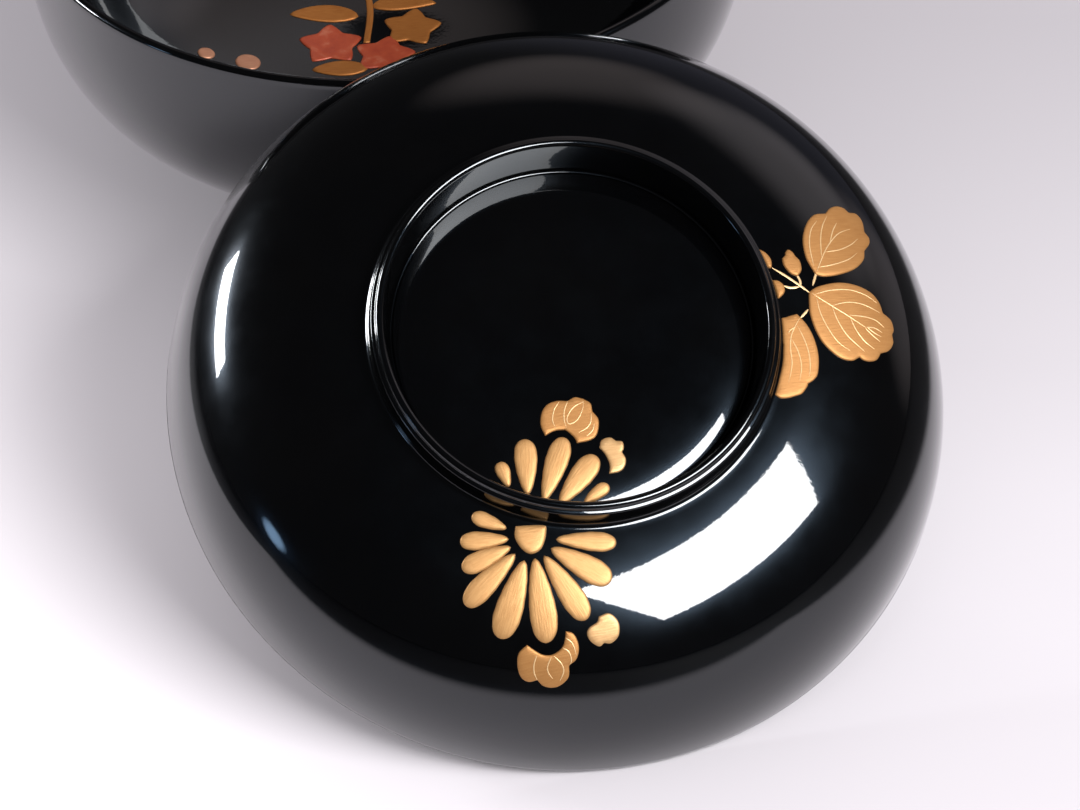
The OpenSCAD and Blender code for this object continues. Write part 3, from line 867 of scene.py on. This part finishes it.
def build_spray():
    """Three round leaves with buds, on the dome beside the ring."""
    leaf_with_veins(
        "spray_top_gold", "spray_top_leaf", "dome",
        lobed([(38.2, 2.7), (37.4, 5.7), (37.7, 8.8), (39, 11.4), (40.7, 12.9)],
              [(42.6, 13.1), (43.7, 14.1), (45, 14.5), (46.1, 14.2)],
              [(46.7, 13.5), (48, 13.4), (48.7, 12.1)], [(48.5, 10.1), (49, 9.1), (48.7, 8)],
              [(47.5, 6.7), (46.8, 5), (44.8, 3.4), (42, 2.5), (39.6, 2.3)]),
        [[(38.4, 3.1), (40.6, 6.4), (42.2, 8.2), (43.8, 9.5), (45.9, 10.3)],
         [(41.8, 7.8), (42.8, 9.8), (43.9, 11.3)],
         [(38.2, 4.1), (38.4, 7.5), (39.3, 10.1), (40.7, 11.7)],
         [(39.8, 5.5), (40.5, 8.6), (41.4, 10.8), (42.6, 12.5)],
         [(40.6, 6.3), (43, 6.6), (45.2, 7.5), (46.7, 8.6)],
         [(38.7, 3.8), (41.2, 4.1), (44, 4.9), (45.9, 6.1)]])
    leaf_with_veins(
        "spray_middle_gold", "spray_middle_leaf", "dome",
        lobed([(36.4, 0), (38.2, 0.8), (41.5, 1.2), (44.3, 0.7), (46.5, -0.5), (47.5, -2.1)],
              [(47.7, -3.8), (48.8, -4.9), (48.9, -6.4)], [(48.4, -7.3), (48.2, -8.7), (47.1, -9.9)],
              [(45.6, -10.4), (44.7, -11.4), (43.5, -11.7), (42.5, -11.5)],
              [(41.9, -11), (40.4, -11.5), (38.5, -10.8), (36.7, -8.6), (35.9, -6.2), (35.7, -3.6),
               (36, -1.7)]),
        [[(36.8, -0.4), (39.2, -2.5), (41.7, -4.5), (44, -6.4)], [(44, -6.3), (45.4, -6.4), (46.5, -7.1)],
         [(43.9, -6.5), (44.8, -7.6), (45.8, -8.6)], [(44.2, -6.3), (45.2, -7.2), (46.2, -7.8)],
         [(37, -0.6), (39.8, -0.1), (43, -0.2), (45.4, -1.1), (46.9, -2.3)],
         [(39.4, -2.6), (42, -2.2), (44.5, -2.6), (47, -3.9)],
         [(41.8, -4.3), (44.2, -4.6), (46, -5.2), (47.1, -6.3)],
         [(37.3, -1.1), (37.3, -3.7), (38, -6.5), (39, -8.6), (40.5, -10)],
         [(39.4, -2.7), (39.7, -5), (40.7, -7.6), (42.8, -10.2)],
         [(41.8, -4.5), (42.3, -6.7), (43.2, -8.5), (44.5, -9.8)]])
    leaf_with_veins(
        "spray_lower_gold", "spray_lower_leaf", "dome",
        lobed([(33.7, -3.3), (31.9, -3.6), (30.9, -4.1)], [(30.4, -8), (29.4, -11.2)],
              [(27.2, -15.5), (28, -16.2), (29.3, -16.3)], [(30, -16.2), (31.4, -15.9), (32.5, -14.9)],
              [(32.7, -14.5), (33.9, -13.9), (34.7, -12.9), (35.4, -10.3), (35.4, -7.6), (34.8, -5.2)]),
        [[(34.1, -3.9), (33.1, -5), (31.9, -6.7), (31.3, -8.6), (30.9, -11.2), (29.7, -14)],
         [(33.2, -5.3), (33.7, -7.4), (33.9, -9.7), (33.6, -11.9), (33, -13.6)],
         [(31.8, -7.3), (32.3, -9.2), (32.3, -11.5), (31.5, -13.9)],
         [(32.6, -5.5), (31.9, -5.9), (31.5, -6.3)]],
        clear=RING_CLEAR)
    buds = [
        lobed([(35.3, 2.7), (36.2, 3.7), (36.3, 5.2), (35.8, 6.1)],
              [(35.6, 6.7), (35, 7.3), (34.4, 6.9), (34.2, 6.4)],
              [(33.6, 5.9), (33.6, 4.7), (34.3, 3.3)]),
        lobed([(30.5, 7.9), (31.4, 7.1), (31.9, 5.9), (31.6, 4.6)], [(30.9, 4.9), (30.3, 6)]),
        lobed([(31.2, 2.6), (32.1, 2.4), (32.8, 1.6)], [(32.8, 0.6), (32.3, 0), (31.3, -0.3)]),
    ]
    gold_piece("spray_buds_gold", "lid", "spray_buds",
               [Gold("dome", o, lift=0.28, edge=0.3, crown=0.05, clear=RING_CLEAR) for o in buds],
               leaf_gold())
    build_stems()


def stem_lift(line):
    """The height of the stems along their line, which has no leaf under it."""
    return np.full(len(line), STEM_LIFT)


def build_stems():
    """The fine stems of the spray's leaves and buds."""
    stems = [
        [(36.5, -0.1), (35.4, 1.1), (33.4, 3.1), (31.7, 4.6)],
        [(35.4, 1.1), (35.5, 2.1), (35.2, 3.1)],
        [(35.1, 1), (33.8, 1), (32.7, 1.5)],
        [(38.5, 3.2), (37.9, 2.1), (37.3, 1)],
        [(34.1, -4), (34.9, -3.4), (35.6, -2.8)],
    ]
    thing = vein_piece("spray_stems_gold", "dome", stem_lift, stems, STEM_WIDTH)
    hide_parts("spray_stems")


# ---------------------------------------------------------------- stage, light and camera
TABLE = (("X", -220, -1), ("X", 122, 1), ("Y", -150, -1), ("Y", 400, 1))  # axis, edge, way off the table
TABLE_FADE = 30  # how softly the painted dark reflection past the table's edges sets in
FLOOR_HALF = 3.0  # half the floor's width, in metres
FLOOR_DROP = 0.00005  # keeps the floor just clear of what stands on it, in metres
# painted reflection: the floor's colour past the table's edges, seen by glossy rays only
PAINTED_DARK_REFLECTION = (0.02, 0.02, 0.022, 1)
TABLE_PAINTED_LIGHT_AND_SHADE = (  # painted light and shade on the table, lighter towards the left and darker towards the back: axis, where a tone begins and where it is full, in metres, and the tone
    ("X", 0.04, -0.07, (0.50, 0.474, 0.496, 1)),
    ("Y", -0.06, 0.13, (0.30, 0.284, 0.302, 1)),
)

ROOM = (0.03, 0.03, 0.032)  # what the lacquer mirrors where nothing else stands
FILL = (0.9, 0.87, 0.9)  # light from the whole room on what is not glossy
BACKDROP = (0.62, 0.59, 0.62)  # what the camera sees past the floor
GLOWS = (  # azimuth and height, full within and gone beyond this many degrees, colour
    (131, 36, 6, 23, (0.58, 0.52, 0.53)),
    (168, 45, 4, 21, (0.40, 0.34, 0.33)),
    (150, 3, 10, 40, (0.05, 0.05, 0.07)),
    (-68, 4, 1.5, 5, (2.5, 4.0, 6.0)),
    (120, 8, 4, 20, (0.30, 0.26, 0.26)),
)

CAMERA_AT = (11.53, -595.31, 488.10)
CAMERA_DOWN, CAMERA_ROLL = math.radians(40.57), math.radians(-1.72)  # how far it looks down and leans over
CAMERA_LENS = 152.9


def past_table(m, split):
    """0 on the table and 1 past its edges: the mask of the painted dark reflection."""
    gone = None
    for axis, edge, way in TABLE:
        node = m.add("ShaderNodeMapRange", interpolation_type="SMOOTHSTEP")
        node.inputs["From Min"].default_value = edge * MM
        node.inputs["From Max"].default_value = (edge + way * TABLE_FADE) * MM
        m.link(split.outputs[axis], node.inputs["Value"])
        if gone is None:
            gone = node.outputs["Result"]
            continue
        top = m.add("ShaderNodeMath", operation="MAXIMUM")
        m.link(gone, top.inputs[0])
        m.link(node.outputs["Result"], top.inputs[1])
        gone = top.outputs[0]
    return gone


def table_top():
    """A pale table with painted light and shade, lighter towards the left and darker towards the back. Glossy
    rays see it painted dark past its edges, a painted reflection of a table that ends.
    """
    m = Nodes("floor")
    split = m.add("ShaderNodeSeparateXYZ")
    m.link(m.place(), split.inputs["Vector"])
    # painted reflection: only glossy rays see the floor painted dark past the table's edges
    glossy = m.add("ShaderNodeMath", operation="MULTIPLY")
    m.link(m.add("ShaderNodeLightPath").outputs["Is Glossy Ray"], glossy.inputs[0])
    m.link(past_table(m, split), glossy.inputs[1])
    pale = m.ramp(m.noise(m.place(), 9.0), (0.3, (0.405, 0.386, 0.407)), (0.7, (0.415, 0.395, 0.417)))
    # painted light and shade: the table is made lighter towards the left and darker towards the back
    for axis, begin, full, tone in TABLE_PAINTED_LIGHT_AND_SHADE:
        fade = m.add("ShaderNodeMapRange", interpolation_type="SMOOTHSTEP")
        fade.inputs["From Min"].default_value = begin
        fade.inputs["From Max"].default_value = full
        m.link(split.outputs[axis], fade.inputs["Value"])
        pale = m.blend(fade.outputs["Result"], pale, tone)
    m.link(m.blend(glossy.outputs[0], pale, PAINTED_DARK_REFLECTION), m.shader.inputs["Base Color"])
    m.set(Roughness=0.7, Specular_IOR_Level=0.1)
    return m.material


def build_floor():
    """The table's top, far wider than the camera sees."""
    mesh = bpy.data.meshes.new("floor")
    corners = [(x * FLOOR_HALF, y * FLOOR_HALF, 0) for x, y in ((-1, -1), (1, -1), (1, 1), (-1, 1))]
    mesh.from_pydata(corners, [], [(0, 1, 2, 3)])
    mesh.materials.append(table_top())
    floor = bpy.data.objects.new("floor", mesh)
    floor.location.z = -FLOOR_DROP
    scene.collection.objects.link(floor)


def toward(turn, rise):
    """The direction at an azimuth (0 is -Y, 90 is +X) and a height, in degrees."""
    a, e = math.radians(turn), math.radians(rise)
    return Vector((math.sin(a) * math.cos(e), -math.cos(a) * math.cos(e), math.sin(e)))


def soft_light(name, turn, rise, size, radiance, colour=(1, 1, 1), roll=0.0, distance=1.0):
    """A rectangular light in a direction from the lid, facing it. Its size and distance are in metres."""
    data = bpy.data.lights.new(name, "AREA")
    data.shape = "RECTANGLE"
    data.size, data.size_y = size
    data.energy = radiance * math.pi * size[0] * size[1]
    data.color = colour
    light = bpy.data.objects.new(name, data)
    out = toward(turn, rise)
    rolled = Matrix.Rotation(math.radians(roll), 4, "Z").to_quaternion()
    light.location = PLACE["lid"] @ Vector((0, 0, 20 * MM)) + out * distance
    light.rotation_mode = "QUATERNION"
    light.rotation_quaternion = out.to_track_quat("Z", "Y") @ rolled
    light.visible_camera = False
    scene.collection.objects.link(light)


def glow(tree, turn, rise, inner, outer, colour):
    """A soft patch of room light round a direction, fading between two angles from it."""
    near = tree.nodes.new("ShaderNodeVectorMath")
    near.operation = "DOT_PRODUCT"
    near.inputs[1].default_value = toward(turn, rise)
    tree.links.new(tree.nodes.new("ShaderNodeTexCoord").outputs["Generated"], near.inputs[0])
    fade = tree.nodes.new("ShaderNodeMapRange")
    fade.interpolation_type = "SMOOTHSTEP"
    fade.inputs["From Min"].default_value = math.cos(math.radians(outer))
    fade.inputs["From Max"].default_value = math.cos(math.radians(inner))
    tree.links.new(near.outputs["Value"], fade.inputs["Value"])
    patch = tree.nodes.new("ShaderNodeBackground")
    patch.inputs["Color"].default_value = (*colour, 1)
    tree.links.new(fade.outputs["Result"], patch.inputs["Strength"])
    return patch.outputs[0]


def build_room():
    """A dim room with soft glows for the lacquer to mirror, and an even fill for everything else."""
    world = bpy.data.worlds.new("studio")
    scene.world = world
    world.use_nodes = True
    tree = world.node_tree
    path = tree.nodes.new("ShaderNodeLightPath")
    room = tree.nodes["Background"].outputs[0]
    tree.nodes["Background"].inputs["Color"].default_value = (*ROOM, 1)
    for patch in [glow(tree, *spec) for spec in GLOWS]:
        both = tree.nodes.new("ShaderNodeAddShader")
        tree.links.new(room, both.inputs[0])
        tree.links.new(patch, both.inputs[1])
        room = both.outputs[0]
    for ray, colour in (("Is Diffuse Ray", FILL), ("Is Camera Ray", BACKDROP)):
        other = tree.nodes.new("ShaderNodeBackground")
        other.inputs["Color"].default_value = (*colour, 1)
        mix = tree.nodes.new("ShaderNodeMixShader")
        tree.links.new(path.outputs[ray], mix.inputs[0])
        tree.links.new(room, mix.inputs[1])
        tree.links.new(other.outputs[0], mix.inputs[2])
        room = mix.outputs[0]
    tree.links.new(room, tree.nodes["World Output"].inputs["Surface"])


def build_light():
    """A softbox at the front right, a window at the left and the room round them."""
    soft_light("softbox", 43.5, 41.1, (0.63, 0.45), 25.0, roll=12)
    soft_light("window_left", -112.5, 16.5, (0.24, 0.085), 50.0, colour=(0.97, 0.98, 1.0), distance=0.6)
    build_room()
    scene.view_settings.view_transform = "Standard"


def build_camera():
    """A long lens from the front, looking down at the lid."""
    ahead = Vector((0, math.cos(CAMERA_DOWN), -math.sin(CAMERA_DOWN)))
    level = Vector((1, 0, 0))
    up = level.cross(ahead)
    right = level * math.cos(CAMERA_ROLL) + up * math.sin(CAMERA_ROLL)
    data = bpy.data.cameras.new("camera")
    data.sensor_width = 36.0
    data.lens = CAMERA_LENS
    camera = bpy.data.objects.new("camera", data)
    turn = Matrix((right, right.cross(ahead), -ahead)).transposed().to_4x4()
    camera.matrix_world = Matrix.Translation(Vector(CAMERA_AT) * MM) @ turn
    scene.collection.objects.link(camera)
    scene.camera = camera


build_camera()
build_lacquer()
build_bowl_gold()
build_flower()
build_curled_leaves()
build_spray()
build_floor()
build_light()
